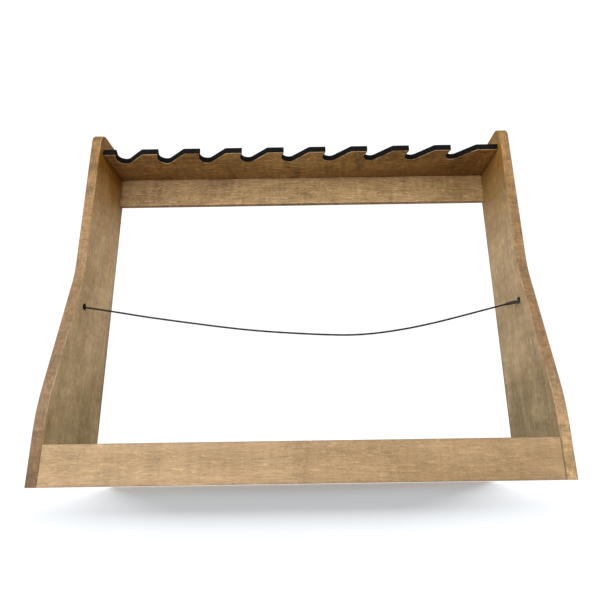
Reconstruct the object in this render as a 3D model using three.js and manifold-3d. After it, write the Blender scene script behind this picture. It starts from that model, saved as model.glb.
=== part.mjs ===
// An upright slotted rack for nine long, slender items that stand side by side.
// Two shaped side panels carry a notched shelf at the top, a back rail beneath it, a front rail at
// the foot and a base board behind that rail. A thin coated cable hangs between the panels.
//
// Millimetres. +X is to the right, +Y to the back, +Z up. The origin is on the floor, midway
// between the panels and midway between the front and the back of their feet.

import * as THREE from 'three';
import { mergeVertices } from 'three/addons/utils/BufferGeometryUtils.js';
import Module from 'manifold-3d';

const wasm = await Module();
wasm.setup();

// ---- driving dimensions ----

const INCH = 25.4;
const GAP = 0.3; // kept between pieces that touch
const OVERCUT = 2; // how far a drill passes a face

const rackWidth = 34.5 * INCH; // over the two panels
const rackHeight = 27.5 * INCH;
const sideThickness = 0.75 * INCH;
const boardThickness = 0.5 * INCH; // shelf, rails and base board
const footDepth = 8 * INCH;
const headDepth = 137;
const headCornerRadius = 24;
const flareTop = 381; // height where the panel starts to widen
const flareBottom = 121; // height where it has its full depth
const flareTopRadius = 190;
const flareBottomRadius = 300;

const railHeight = 65.4;
const backRailInset = 0.25 * INCH; // from the panels' back edges to the rail
const shelfUnderside = 651.2;
const shelfDepth = 122.8; // to the face of its liner

const notchCount = 9;
const notchPitch = 3.5 * INCH;
const firstToothWidth = 28.5; // from the left panel to the first notch
const notchMouth = 53.4;
const notchUndercut = 14; // degrees that the hooked wall leans back
const notchRamp = 41; // degrees of the sloping wall to the front edge
const notchPocketRadius = 13.5;
const toothTipRadius = 1.8;
const rampEndRadius = 8;

const linerThickness = 1.5;
const linerHeight = 11.5;
const padThickness = 3;
const padMargin = 2;

const cableDiameter = 3.5;
const cableHoleDiameter = 0.5 * INCH;
const cableHoleHeight = 318.6;
const cableHoleFromBack = 121;

const screwLength = 45;
const screwDiameter = 4.2;
const screwHeadDiameter = 8;
const screwHeadHeight = 2.6;
const plugDiameter = 9.5;
const plugLength = 6;
const counterboreDepth = plugLength + screwHeadHeight + 2 * GAP;

// ---- sizes worked out from them ----

const backY = footDepth / 2;
const innerHalf = rackWidth / 2 - sideThickness; // to the inner face of a panel
const clearHalf = innerHalf - GAP; // to the end of a board between them
const shelfTop = shelfUnderside + boardThickness;
const railUnderside = shelfUnderside - GAP - railHeight;
const fromBack = (distance) => backY - distance;
const cableHoleY = fromBack(cableHoleFromBack);

// ---- materials ----

const finish = (color, roughness, metalness = 0) => new THREE.MeshStandardMaterial({ color, roughness, metalness });
const wood = {
  panel: finish(0xa58d6b, 0.6),
  shelf: finish(0x75532f, 0.6),
  backRail: finish(0xab8e66, 0.6),
  frontRail: finish(0xc5a77f, 0.55),
  base: finish(0x9c8058, 0.6),
  plug: finish(0xb08a5c, 0.6),
};
const linerFelt = finish(0x23221f, 0.95);
const padFelt = finish(0x262523, 0.95);
const cableCoat = finish(0x2b2a28, 0.45);
const crimpSteel = finish(0x3c3a36, 0.4, 0.6);
const zincSteel = finish(0x9a9b9c, 0.35, 0.9);

// ---- helpers ----

const rack = new THREE.Group();

function add(name, geometry, material, position = [0, 0, 0], rotation = [0, 0, 0]) {
  const mesh = new THREE.Mesh(geometry, material);
  mesh.name = name;
  mesh.position.set(...position);
  mesh.rotation.set(...rotation);
  rack.add(mesh);
}

// A closed geometry as a solid that can be cut.
function solid(geometry) {
  const bare = geometry.clone();
  bare.deleteAttribute('normal');
  bare.deleteAttribute('uv');
  const merged = mergeVertices(bare);
  return new wasm.Manifold(
    new wasm.Mesh({
      numProp: 3,
      vertProperties: new Float32Array(merged.attributes.position.array),
      triVerts: new Uint32Array(merged.index.array),
    }),
  );
}

function geometryOf(body) {
  const mesh = body.getMesh();
  const geometry = new THREE.BufferGeometry();
  geometry.setAttribute('position', new THREE.BufferAttribute(mesh.vertProperties, 3));
  geometry.setIndex(new THREE.BufferAttribute(mesh.triVerts, 1));
  geometry.computeVertexNormals();
  return geometry;
}

function cut(geometry, cutters) {
  let body = solid(geometry);
  for (const cutter of cutters) {
    body = body.subtract(solid(cutter));
  }
  return geometryOf(body);
}

// A box from its lowest to its highest corner.
function block(low, high) {
  const size = high.map((value, axis) => value - low[axis]);
  const centre = high.map((value, axis) => (value + low[axis]) / 2);
  return new THREE.BoxGeometry(...size).translate(...centre);
}

// The points of a line through corners [x, y, radius], each rounded by an arc of its radius.
// An open line keeps its first and last corner sharp.
function rounded(corners, closed = true, degreesPerStep = 14) {
  const points = [];
  corners.forEach(([x, y, radius = 0], index) => {
    const corner = new THREE.Vector2(x, y);
    const isEnd = !closed && (index === 0 || index === corners.length - 1);
    if (radius <= 0 || isEnd) {
      points.push(corner);
      return;
    }
    const last = corners[(index + corners.length - 1) % corners.length];
    const next = corners[(index + 1) % corners.length];
    const back = new THREE.Vector2(last[0] - x, last[1] - y).normalize();
    const ahead = new THREE.Vector2(next[0] - x, next[1] - y).normalize();
    const halfAngle = Math.acos(THREE.MathUtils.clamp(back.dot(ahead), -1, 1)) / 2;
    const bisector = back.clone().add(ahead).normalize();
    const centre = corner.clone().addScaledVector(bisector, radius / Math.sin(halfAngle));
    const start = corner.clone().addScaledVector(back, radius / Math.tan(halfAngle)).sub(centre);
    const side = Math.sign(back.cross(ahead));
    const turn = -side * (Math.PI - 2 * halfAngle);
    const steps = Math.max(2, Math.ceil(THREE.MathUtils.radToDeg(Math.abs(turn)) / degreesPerStep));
    for (let step = 0; step <= steps; step += 1) {
      const swing = start.clone().rotateAround(new THREE.Vector2(), (turn * step) / steps);
      points.push(swing.add(centre));
    }
  });
  return points;
}

// The same open line moved sideways, to the left of its own direction. The arcs stay concentric.
function offsetLine(corners, distance) {
  const edges = corners.slice(1).map(([x, y], index) => {
    const from = new THREE.Vector2(corners[index][0], corners[index][1]);
    const along = new THREE.Vector2(x, y).sub(from).normalize();
    const normal = new THREE.Vector2(-along.y, along.x);
    return { from: from.addScaledVector(normal, distance), along };
  });
  return corners.map(([, , radius = 0], index) => {
    const before = edges[Math.max(0, index - 1)];
    const after = edges[Math.min(edges.length - 1, index)];
    if (index === 0) {
      return [after.from.x, after.from.y, 0];
    }
    if (index === corners.length - 1) {
      const end = new THREE.Vector2(corners[index][0], corners[index][1]);
      const reach = end.clone().sub(before.from).dot(before.along);
      const point = before.from.clone().addScaledVector(before.along, reach);
      return [point.x, point.y, 0];
    }
    const turn = before.along.cross(after.along);
    const gap = after.from.clone().sub(before.from);
    const reach = gap.cross(after.along) / turn;
    const point = before.from.clone().addScaledVector(before.along, reach);
    return [point.x, point.y, Math.max(0, radius - Math.sign(turn) * distance)];
  });
}

function prism(points, depth) {
  return new THREE.ExtrudeGeometry(new THREE.Shape(points), { depth, bevelEnabled: false });
}

// A round tube of the cable's thickness along a smooth curve through the points.
function cableTube(points, steps) {
  const facets = 8;
  const radius = cableDiameter / 2;
  const section = Array.from({ length: facets }, (_, facet) => {
    const angle = (2 * Math.PI * facet) / facets;
    return new THREE.Vector2(radius * Math.cos(angle), radius * Math.sin(angle));
  });
  const path = new THREE.CatmullRomCurve3(points.map((point) => new THREE.Vector3(...point)));
  return new THREE.ExtrudeGeometry(new THREE.Shape(section), { steps, extrudePath: path });
}

// A turned piece on the X axis: profile points are [distance from the axis, place along X].
function turned(profile, segments) {
  const points = profile.map(([radius, along]) => new THREE.Vector2(radius, along));
  return new THREE.LatheGeometry(points, segments).rotateZ(-Math.PI / 2);
}

// ---- fastenings: screws through the panels into the ends of the boards, each under a plug ----

const between = (first, last, count) =>
  Array.from({ length: count }, (_, index) => first + ((last - first) * index) / (count - 1));

const screwSites = [
  ...between(16, railHeight - 16, 2).map((z, index) => ({
    name: `front_rail_${index + 1}`,
    into: 'frontRail',
    y: fromBack(footDepth - boardThickness / 2),
    z,
  })),
  ...between(35, 150, 3).map((distance, index) => ({
    name: `base_board_${index + 1}`,
    into: 'base',
    y: fromBack(distance),
    z: boardThickness / 2,
  })),
  ...between(railUnderside + 15, railUnderside + railHeight - 15, 2).map((z, index) => ({
    name: `back_rail_${index + 1}`,
    into: 'backRail',
    y: fromBack(backRailInset + boardThickness / 2),
    z,
  })),
  ...between(32, 72, 2).map((distance, index) => ({
    name: `shelf_${index + 1}`,
    into: 'shelf',
    y: fromBack(distance),
    z: shelfUnderside + boardThickness / 2,
  })),
];

// Every piece of a fastening is turned about an axis that starts at the panel's outer face (0) and
// runs into the rack. On the right-hand side the whole fastening is turned round.
const headSeat = counterboreDepth - GAP;
const screwTip = headSeat - screwHeadHeight + screwLength;

function screwProfile() {
  const radius = screwDiameter / 2;
  const headTop = headSeat - screwHeadHeight;
  return [
    [0, headTop],
    [screwHeadDiameter / 2 - 0.4, headTop],
    [screwHeadDiameter / 2, headTop + 0.5],
    [screwHeadDiameter / 2, headSeat],
    [radius, headSeat],
    [radius, screwTip - 5],
    [0, screwTip],
  ];
}

const plugProfile = [
  [0, 0],
  [plugDiameter / 2, 0],
  [plugDiameter / 2, plugLength],
  [0, plugLength],
];

const panelDrill = [
  [0, -OVERCUT],
  [plugDiameter / 2 + GAP, -OVERCUT],
  [plugDiameter / 2 + GAP, counterboreDepth],
  [screwDiameter / 2 + GAP, counterboreDepth],
  [screwDiameter / 2 + GAP, sideThickness + OVERCUT],
  [0, sideThickness + OVERCUT],
];

const boardDrill = [
  [0, sideThickness - OVERCUT],
  [screwDiameter / 2 + GAP, sideThickness - OVERCUT],
  [screwDiameter / 2 + GAP, screwTip + GAP],
  [0, screwTip + GAP],
];

const sides = [
  { name: 'left', outerX: -rackWidth / 2, facing: 1 },
  { name: 'right', outerX: rackWidth / 2, facing: -1 },
];

const turnedFor = (side) => [0, side.facing > 0 ? 0 : Math.PI, 0];

function drillAt(profile, side, site) {
  const drill = turned(profile, 12);
  if (side.facing < 0) {
    drill.rotateY(Math.PI);
  }
  return drill.translate(side.outerX, site.y, site.z);
}

function drillsInto(boardName) {
  const sites = screwSites.filter((site) => site.into === boardName);
  return sides.flatMap((side) => sites.map((site) => drillAt(boardDrill, side, site)));
}

// ---- side panels ----

function panelPoints() {
  const head = fromBack(headDepth);
  const foot = fromBack(footDepth);
  return rounded(
    [
      [backY, 0],
      [backY, rackHeight],
      [head, rackHeight, headCornerRadius],
      [head, flareTop, flareTopRadius],
      [foot, flareBottom, flareBottomRadius],
      [foot, 0],
    ],
    true,
    7,
  );
}

function sidePanel(side) {
  const innerX = side.outerX + side.facing * sideThickness;
  const lowX = Math.min(side.outerX, innerX);
  const slab = prism(panelPoints(), sideThickness);
  slab.rotateY(Math.PI / 2).rotateX(Math.PI / 2).translate(lowX, 0, 0);
  const cableHole = turned(
    [
      [0, -OVERCUT],
      [cableHoleDiameter / 2, -OVERCUT],
      [cableHoleDiameter / 2, sideThickness + OVERCUT],
      [0, sideThickness + OVERCUT],
    ],
    24,
  );
  cableHole.translate(lowX, cableHoleY, cableHoleHeight);
  return cut(slab, [cableHole, ...screwSites.map((site) => drillAt(panelDrill, side, site))]);
}

// ---- notched shelf and its liner ----

// The front edge from left to right. Each notch has a hooked wall that leans back under the tooth
// on its left, a round pocket, and a ramp that rises to the front edge on its right.
function frontEdge() {
  const undercut = THREE.MathUtils.degToRad(notchUndercut);
  const ramp = THREE.MathUtils.degToRad(notchRamp);
  const edgeY = fromBack(shelfDepth);
  // The hooked wall and the ramp, run on past the pocket, meet this far behind the front edge.
  const meetDepth = notchMouth / (1 / Math.tan(ramp) - Math.tan(undercut));
  const line = [[-clearHalf, edgeY]];
  for (let notch = 0; notch < notchCount; notch += 1) {
    const toothX = -innerHalf + firstToothWidth + notch * notchPitch;
    line.push([toothX, edgeY, toothTipRadius]);
    line.push([toothX - meetDepth * Math.tan(undercut), edgeY + meetDepth, notchPocketRadius]);
    line.push([toothX + notchMouth, edgeY, rampEndRadius]);
  }
  line.push([clearHalf, edgeY]);
  return line;
}

function notchedShelf() {
  const edge = rounded(offsetLine(frontEdge(), linerThickness + GAP), false);
  const outline = [...edge, new THREE.Vector2(clearHalf, backY), new THREE.Vector2(-clearHalf, backY)];
  const slab = prism(outline, boardThickness).translate(0, 0, shelfUnderside);
  return cut(slab, drillsInto('shelf'));
}

function notchLiner() {
  const outer = rounded(frontEdge(), false);
  const inner = rounded(offsetLine(frontEdge(), linerThickness), false);
  return prism([...outer, ...inner.reverse()], linerHeight).translate(0, 0, shelfTop - linerHeight);
}

// ---- straight boards ----

function straightBoards() {
  const railFront = fromBack(footDepth);
  const railBack = fromBack(backRailInset);
  const baseFront = railFront + boardThickness + GAP;
  const padBottom = boardThickness + GAP;
  const boards = [
    {
      name: 'back_rail',
      low: [-clearHalf, railBack - boardThickness, railUnderside],
      high: [clearHalf, railBack, railUnderside + railHeight],
      drills: 'backRail',
    },
    {
      name: 'front_rail',
      low: [-clearHalf, railFront, 0],
      high: [clearHalf, railFront + boardThickness, railHeight],
      drills: 'frontRail',
    },
    {
      name: 'base_board',
      low: [-clearHalf, baseFront, 0],
      high: [clearHalf, backY, boardThickness],
      drills: 'base',
    },
  ];
  for (const { name, low, high, drills } of boards) {
    add(name, cut(block(low, high), drillsInto(drills)), wood[drills]);
  }
  const padLow = [-innerHalf + padMargin, baseFront + padMargin, padBottom];
  const padHigh = [innerHalf - padMargin, backY - padMargin, padBottom + padThickness];
  add('base_pad', block(padLow, padHigh), padFelt);
}

// ---- cable with its stop, washer, ferrule and eye ----

const washerThickness = 1.2;
const washerOuter = -rackWidth / 2 - GAP - washerThickness;
const stopLength = 10;
const stopDiameter = 7;
const ferruleLength = 32;
const ferruleHeight = 7.6;
const ferruleWidth = 4.8;
const ferruleTilt = THREE.MathUtils.degToRad(8.7);
const ferruleCentre = [404.5, 314]; // X and Z

// X and Z of the hanging strand, from the left stop to the ferrule.
const strandRoute = [
  [washerOuter, cableHoleHeight],
  [-430, 318.2],
  [-419, 317],
  [-404, 314.8],
  [-380, 310.9],
  [-345, 304.8],
  [-300, 296.8],
  [-250, 288.9],
  [-200, 281.4],
  [-150, 274.2],
  [-100, 267.9],
  [-50, 263.1],
  [0, 259.4],
  [50, 256.5],
  [90, 255.4],
  [130, 257.1],
  [170, 261.6],
  [210, 267.9],
  [250, 275.9],
  [290, 285.2],
  [330, 295.1],
  [360, 302.6],
  [376, 306.6],
];

// A point of the ferrule, from its distance along and across its own axis.
function onFerrule(along, across) {
  return [
    ferruleCentre[0] + along * Math.cos(ferruleTilt) - across * Math.sin(ferruleTilt),
    ferruleCentre[1] + along * Math.sin(ferruleTilt) + across * Math.cos(ferruleTilt),
  ];
}

const strandOffset = 1.8; // of each of the two strands from the ferrule's axis
const ferruleReach = ferruleLength / 2 + GAP;

// The eye runs out through the hole, opens into a loop a little wider than the hole, and returns.
const eyeRoute = [
  onFerrule(ferruleReach, -strandOffset),
  [428, 314.8],
  [438.5, 314.5],
  [445, 313.9],
  [450.2, 315.2],
  [452.3, 319.3],
  [450.2, 323.6],
  [445, 325.3],
  [438.5, 322.9],
  [428, 320],
  onFerrule(ferruleReach, strandOffset),
];

const inCablePlane = ([x, z]) => [x, cableHoleY, z];

// An oval sleeve closed over the doubled cable.
function ferrule() {
  const halfWidth = ferruleWidth / 2;
  const halfHeight = ferruleHeight / 2;
  const rounding = 0.98 * halfWidth; // leaves a narrow flat on each end of the oval
  const corners = [
    [halfWidth, halfHeight, rounding],
    [halfWidth, -halfHeight, rounding],
    [-halfWidth, -halfHeight, rounding],
    [-halfWidth, halfHeight, rounding],
  ];
  return prism(rounded(corners, true, 30), ferruleLength)
    .translate(0, 0, -ferruleLength / 2)
    .rotateZ(Math.PI / 2)
    .rotateY(Math.PI / 2);
}

function cableSet() {
  const strandEnd = onFerrule(-ferruleReach, -strandOffset);
  add('cable_strand', cableTube([...strandRoute, strandEnd].map(inCablePlane), 72), cableCoat);
  add('cable_eye', cableTube(eyeRoute.map(inCablePlane), 36), cableCoat);

  const washerPlace = [-rackWidth / 2 - GAP, cableHoleY, cableHoleHeight];
  const washer = turned(
    [
      [2.2, -washerThickness],
      [12.5, -washerThickness],
      [12.5, 0],
      [2.2, 0],
      [2.2, -washerThickness],
    ],
    20,
  );
  add('stop_washer', washer, zincSteel, washerPlace);

  const stopRadius = stopDiameter / 2;
  const stop = turned(
    [
      [0, -stopLength],
      [stopRadius - 0.7, -stopLength],
      [stopRadius, -stopLength + 0.7],
      [stopRadius, -0.7],
      [stopRadius - 0.7, 0],
      [0, 0],
    ],
    16,
  );
  add('cable_stop', stop, crimpSteel, [washerOuter - GAP, cableHoleY, cableHoleHeight]);
  add(
    'cable_ferrule',
    ferrule(),
    crimpSteel,
    [ferruleCentre[0], cableHoleY, ferruleCentre[1]],
    [0, -ferruleTilt, 0],
  );
}

// ---- the rack ----

for (const side of sides) {
  add(`${side.name}_side_panel`, sidePanel(side), wood.panel);
  for (const site of screwSites) {
    const place = [side.outerX, site.y, site.z];
    add(`${side.name}_screw_${site.name}`, turned(screwProfile(), 10), zincSteel, place, turnedFor(side));
    add(`${side.name}_plug_${site.name}`, turned(plugProfile, 14), wood.plug, place, turnedFor(side));
  }
}
add('notched_shelf', notchedShelf(), wood.shelf);
add('notch_liner', notchLiner(), linerFelt);
straightBoards();
cableSet();

export default rack;
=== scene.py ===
import math

import bmesh
import bpy
from mathutils import Matrix, Vector


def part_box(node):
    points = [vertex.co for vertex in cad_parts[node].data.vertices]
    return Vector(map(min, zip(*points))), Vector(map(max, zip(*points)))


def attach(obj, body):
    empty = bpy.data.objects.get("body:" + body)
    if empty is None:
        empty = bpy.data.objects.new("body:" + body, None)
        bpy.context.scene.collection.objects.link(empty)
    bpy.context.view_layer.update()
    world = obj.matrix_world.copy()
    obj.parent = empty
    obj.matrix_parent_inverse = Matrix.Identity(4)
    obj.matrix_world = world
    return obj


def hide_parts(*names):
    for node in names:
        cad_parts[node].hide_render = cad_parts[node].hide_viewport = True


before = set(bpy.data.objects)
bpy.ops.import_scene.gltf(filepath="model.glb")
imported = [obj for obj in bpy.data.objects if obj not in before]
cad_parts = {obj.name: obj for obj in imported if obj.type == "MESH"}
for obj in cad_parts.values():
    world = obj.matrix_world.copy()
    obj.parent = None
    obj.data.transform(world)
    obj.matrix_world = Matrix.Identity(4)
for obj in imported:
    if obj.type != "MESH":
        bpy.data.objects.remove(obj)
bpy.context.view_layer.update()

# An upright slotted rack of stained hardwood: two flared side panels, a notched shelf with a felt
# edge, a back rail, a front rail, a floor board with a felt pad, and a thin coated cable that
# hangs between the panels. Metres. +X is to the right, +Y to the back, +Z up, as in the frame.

MM = 0.001
GAP = 0.3 * MM  # between pieces that touch


# ---- places that the frame gives ----

LEFT_LOW, LEFT_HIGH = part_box("left_side_panel")
RIGHT_LOW, RIGHT_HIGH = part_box("right_side_panel")
SHELF_LOW, SHELF_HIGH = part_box("notched_shelf")
LINER_LOW, LINER_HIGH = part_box("notch_liner")
FERRULE_LOW, FERRULE_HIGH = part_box("cable_ferrule")

BACK_Y = LEFT_HIGH.y
FRONT_Y = LEFT_LOW.y
RACK_HEIGHT = LEFT_HIGH.z
PANEL_THICKNESS = LEFT_HIGH.x - LEFT_LOW.x
INNER_HALF = RIGHT_LOW.x  # from the middle of the rack to the inner face of a panel


def linked(name, data):
    """A new object in the scene."""
    made = bpy.data.objects.new(name, data)
    bpy.context.scene.collection.objects.link(made)
    return made


# ---- camera ----

CAMERA_PLACE = (0.0250, -0.9016, 0.0729)
CAMERA_TILT = math.radians(15.96)  # upwards
CAMERA_ROLL = math.radians(-0.86)
CAMERA_LENS = 28.46  # mm, on a sensor 36 mm wide
CAMERA_SHIFT = -0.024


def make_camera():
    data = bpy.data.cameras.new("camera")
    data.sensor_width = 36
    data.lens = CAMERA_LENS
    data.shift_x = CAMERA_SHIFT
    data.clip_start = 0.02
    camera = linked("camera", data)
    level = Matrix.Rotation(math.pi / 2 + CAMERA_TILT, 4, "X")
    camera.matrix_world = Matrix.Translation(CAMERA_PLACE) @ level @ Matrix.Rotation(CAMERA_ROLL, 4, "Z")
    bpy.context.scene.camera = camera


# ---- material nodes ----


class Shader:
    """A new material or world: its last shader, and short ways to add the nodes that feed it."""

    def __init__(self, name, kind=bpy.data.materials, last="Principled BSDF", **sockets):
        self.owner = kind.new(name)
        self.owner.use_nodes = True
        self.tree = self.owner.node_tree
        self.last = self.tree.nodes[last]
        for socket, value in sockets.items():
            self.last.inputs[socket.replace("_", " ")].default_value = value

    def set(self, socket, value):
        if isinstance(value, bpy.types.NodeSocket):
            self.tree.links.new(value, socket)
        else:
            socket.default_value = value

    def node(self, kind, settings=None, **inputs):
        made = self.tree.nodes.new(kind)
        for key, value in (settings or {}).items():
            setattr(made, key, value)
        for socket, value in inputs.items():
            self.set(made.inputs[socket.replace("_", " ")], value)
        return made

    def math(self, operation, first, second=0.0):
        made = self.tree.nodes.new("ShaderNodeMath")
        made.operation = operation
        self.set(made.inputs[0], first)
        self.set(made.inputs[1], second)
        return made.outputs[0]

    def vector(self, operation, first, second):
        made = self.tree.nodes.new("ShaderNodeVectorMath")
        made.operation = operation
        self.set(made.inputs[0], first)
        self.set(made.inputs[1], second)
        return made.outputs["Value" if operation == "DOT_PRODUCT" else "Vector"]

    def noise(self, vector, scale, detail=2.0, roughness=0.5, distortion=0.0, color=False):
        made = self.node(
            "ShaderNodeTexNoise",
            Vector=self.vector("MULTIPLY", vector, scale),
            Scale=1.0,
            Detail=detail,
            Roughness=roughness,
            Distortion=distortion,
        )
        return made.outputs["Color" if color else "Fac"]

    def between(self, value, low, high, to_low=0.0, to_high=1.0):
        made = self.node(
            "ShaderNodeMapRange",
            Value=value,
            From_Min=low,
            From_Max=high,
            To_Min=to_low,
            To_Max=to_high,
        )
        return made.outputs["Result"]

    def times(self, first, second):
        return self.math("MULTIPLY", first, second)

    def spread(self, texture, low, high):
        """The range that most of a noise texture keeps to, stretched to run from low to high."""
        return self.between(texture, 0.3, 0.7, low, high)

    def mix(self, factor, first, second):
        made = self.tree.nodes.new("ShaderNodeMix")
        made.data_type = "RGBA"
        self.set(made.inputs["Factor"], factor)
        self.set(made.inputs[6], first)
        self.set(made.inputs[7], second)
        return made.outputs[2]

    def scaled(self, color, amount):
        made = self.tree.nodes.new("ShaderNodeVectorMath")
        made.operation = "SCALE"
        self.set(made.inputs[0], color)
        self.set(made.inputs["Scale"], amount)
        return made.outputs["Vector"]

    def attribute(self, name):
        return self.node("ShaderNodeAttribute", {"attribute_name": name}).outputs["Fac"]

    def total(self, *values):
        result = values[0]
        for value in values[1:]:
            result = self.math("ADD", result, value)
        return result

    def growth_rings(self, place, along):
        """Thin dark lines round the heart of the log, which the board was sawn a little askew of."""
        split = self.node("ShaderNodeSeparateXYZ", Vector=place)
        aside = self.total(split.outputs["Y"], self.times(along, SAWN_ASKEW))
        square = self.total(self.math("POWER", aside, 2.0), self.math("POWER", split.outputs["Z"], 2.0))
        turns = self.times(self.math("SQRT", square), 2 * math.pi / RING_WIDTH)
        return self.math("POWER", self.between(self.math("SINE", turns), -1, 1), 4.0)

    def bump(self, height, distance, strength=1.0, under=None):
        made = self.node("ShaderNodeBump", Height=height, Distance=distance, Strength=strength)
        if under is not None:
            self.tree.links.new(under, made.inputs["Normal"])
        return made.outputs["Normal"]

    def finish(self, **links):
        for socket, value in links.items():
            self.tree.links.new(value, self.last.inputs[socket.replace("_", " ")])
        return self.owner


RING_WIDTH = 0.0042
SAWN_ASKEW = 0.04  # sideways drift of the log's heart for each metre along the board
AXES = {"X": (1, 0, 0), "Y": (0, 1, 0), "Z": (0, 0, 1)}
GRAIN_ORDER = {"X": (0, 1, 2), "Y": (1, 2, 0), "Z": (2, 0, 1)}  # the grain's own axis comes first

# Stain colours (linear).
BLOTCHED = (0.84, 0.81, 0.76)  # multiplies the stain in its darker blotches
END_STAIN = (0.130, 0.074, 0.032)
# grime at a joint, and painted shade where it darkens the panels' outer and back arrises
GRIME_AND_SHADE = (0.080, 0.055, 0.033)
SHADED = (0.48, 0.38, 0.28)  # painted shade: multiplies the stain in the corner of a joint
SANDED = (0.560, 0.400, 0.225)
# painted shade: the walls inside the bores are painted near black
BORE_SHADE = (0.006, 0.004, 0.003)

# Each board's stain changes along it: (place along the grain, broad face, sawn edge), in order.
# The panels' stain darkens towards the foot and most towards the head: painted shade of the trough and of
# the shelf above.
LEFT_PANEL_STAIN_AND_SHADE = (
    (0.08, (0.295, 0.213, 0.102), (0.155, 0.088, 0.036)),
    (0.12, (0.329, 0.238, 0.118), (0.205, 0.126, 0.058)),
    (0.24, (0.430, 0.313, 0.168), (0.205, 0.126, 0.061)),
    (0.33, (0.453, 0.324, 0.172), (0.259, 0.154, 0.068)),
    (0.46, (0.485, 0.340, 0.178), (0.262, 0.157, 0.067)),
    (0.62, (0.202, 0.088, 0.009), (0.216, 0.116, 0.035)),
)
RIGHT_PANEL_STAIN_AND_SHADE = (
    (0.10, (0.272, 0.202, 0.108), (0.345, 0.223, 0.105)),
    (0.17, (0.340, 0.252, 0.140), (0.245, 0.150, 0.066)),
    (0.24, (0.408, 0.301, 0.173), (0.248, 0.146, 0.062)),
    (0.46, (0.440, 0.317, 0.172), (0.222, 0.128, 0.050)),
    (0.62, (0.247, 0.129, 0.029), (0.300, 0.163, 0.054)),
)
# Painted light: the shelf's stain is lighter in its middle than the other boards', so that its dimly lit
# underside shows lighter. It is darker towards both ends.
SHELF_STAIN_AND_LIGHT = (
    (-0.35, (0.430, 0.268, 0.105), (0.300, 0.178, 0.076)),
    (0.00, (0.555, 0.380, 0.166), (0.300, 0.178, 0.076)),
    (0.35, (0.365, 0.210, 0.070), (0.300, 0.178, 0.076)),
)
# Painted light: the back rail's sawn edges are pale, so that its dimly lit lower edge shows lighter.
BACK_RAIL_STAIN_AND_LIGHT = (
    (-0.40, (0.325, 0.212, 0.098), (0.560, 0.430, 0.290)),
    (0.00, (0.350, 0.236, 0.114), (0.560, 0.430, 0.290)),
    (0.40, (0.350, 0.230, 0.104), (0.560, 0.430, 0.290)),
)
# Painted light: the front rail's stain is lighter at its left end than at its right, as if lit more from
# the left.
FRONT_RAIL_STAIN_AND_LIGHT = (
    (-0.42, (0.383, 0.264, 0.142), (0.300, 0.185, 0.085)),
    (0.42, (0.331, 0.222, 0.115), (0.280, 0.170, 0.078)),
)
BASE_STAIN = (
    (-0.40, (0.370, 0.250, 0.130), (0.300, 0.185, 0.085)),
    (0.40, (0.350, 0.230, 0.118), (0.290, 0.178, 0.080)),
)
PLUG_STAIN = (
    (0.00, (0.300, 0.185, 0.090), (0.300, 0.185, 0.090)),
    (0.65, (0.320, 0.200, 0.095), (0.320, 0.200, 0.095)),
)


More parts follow.
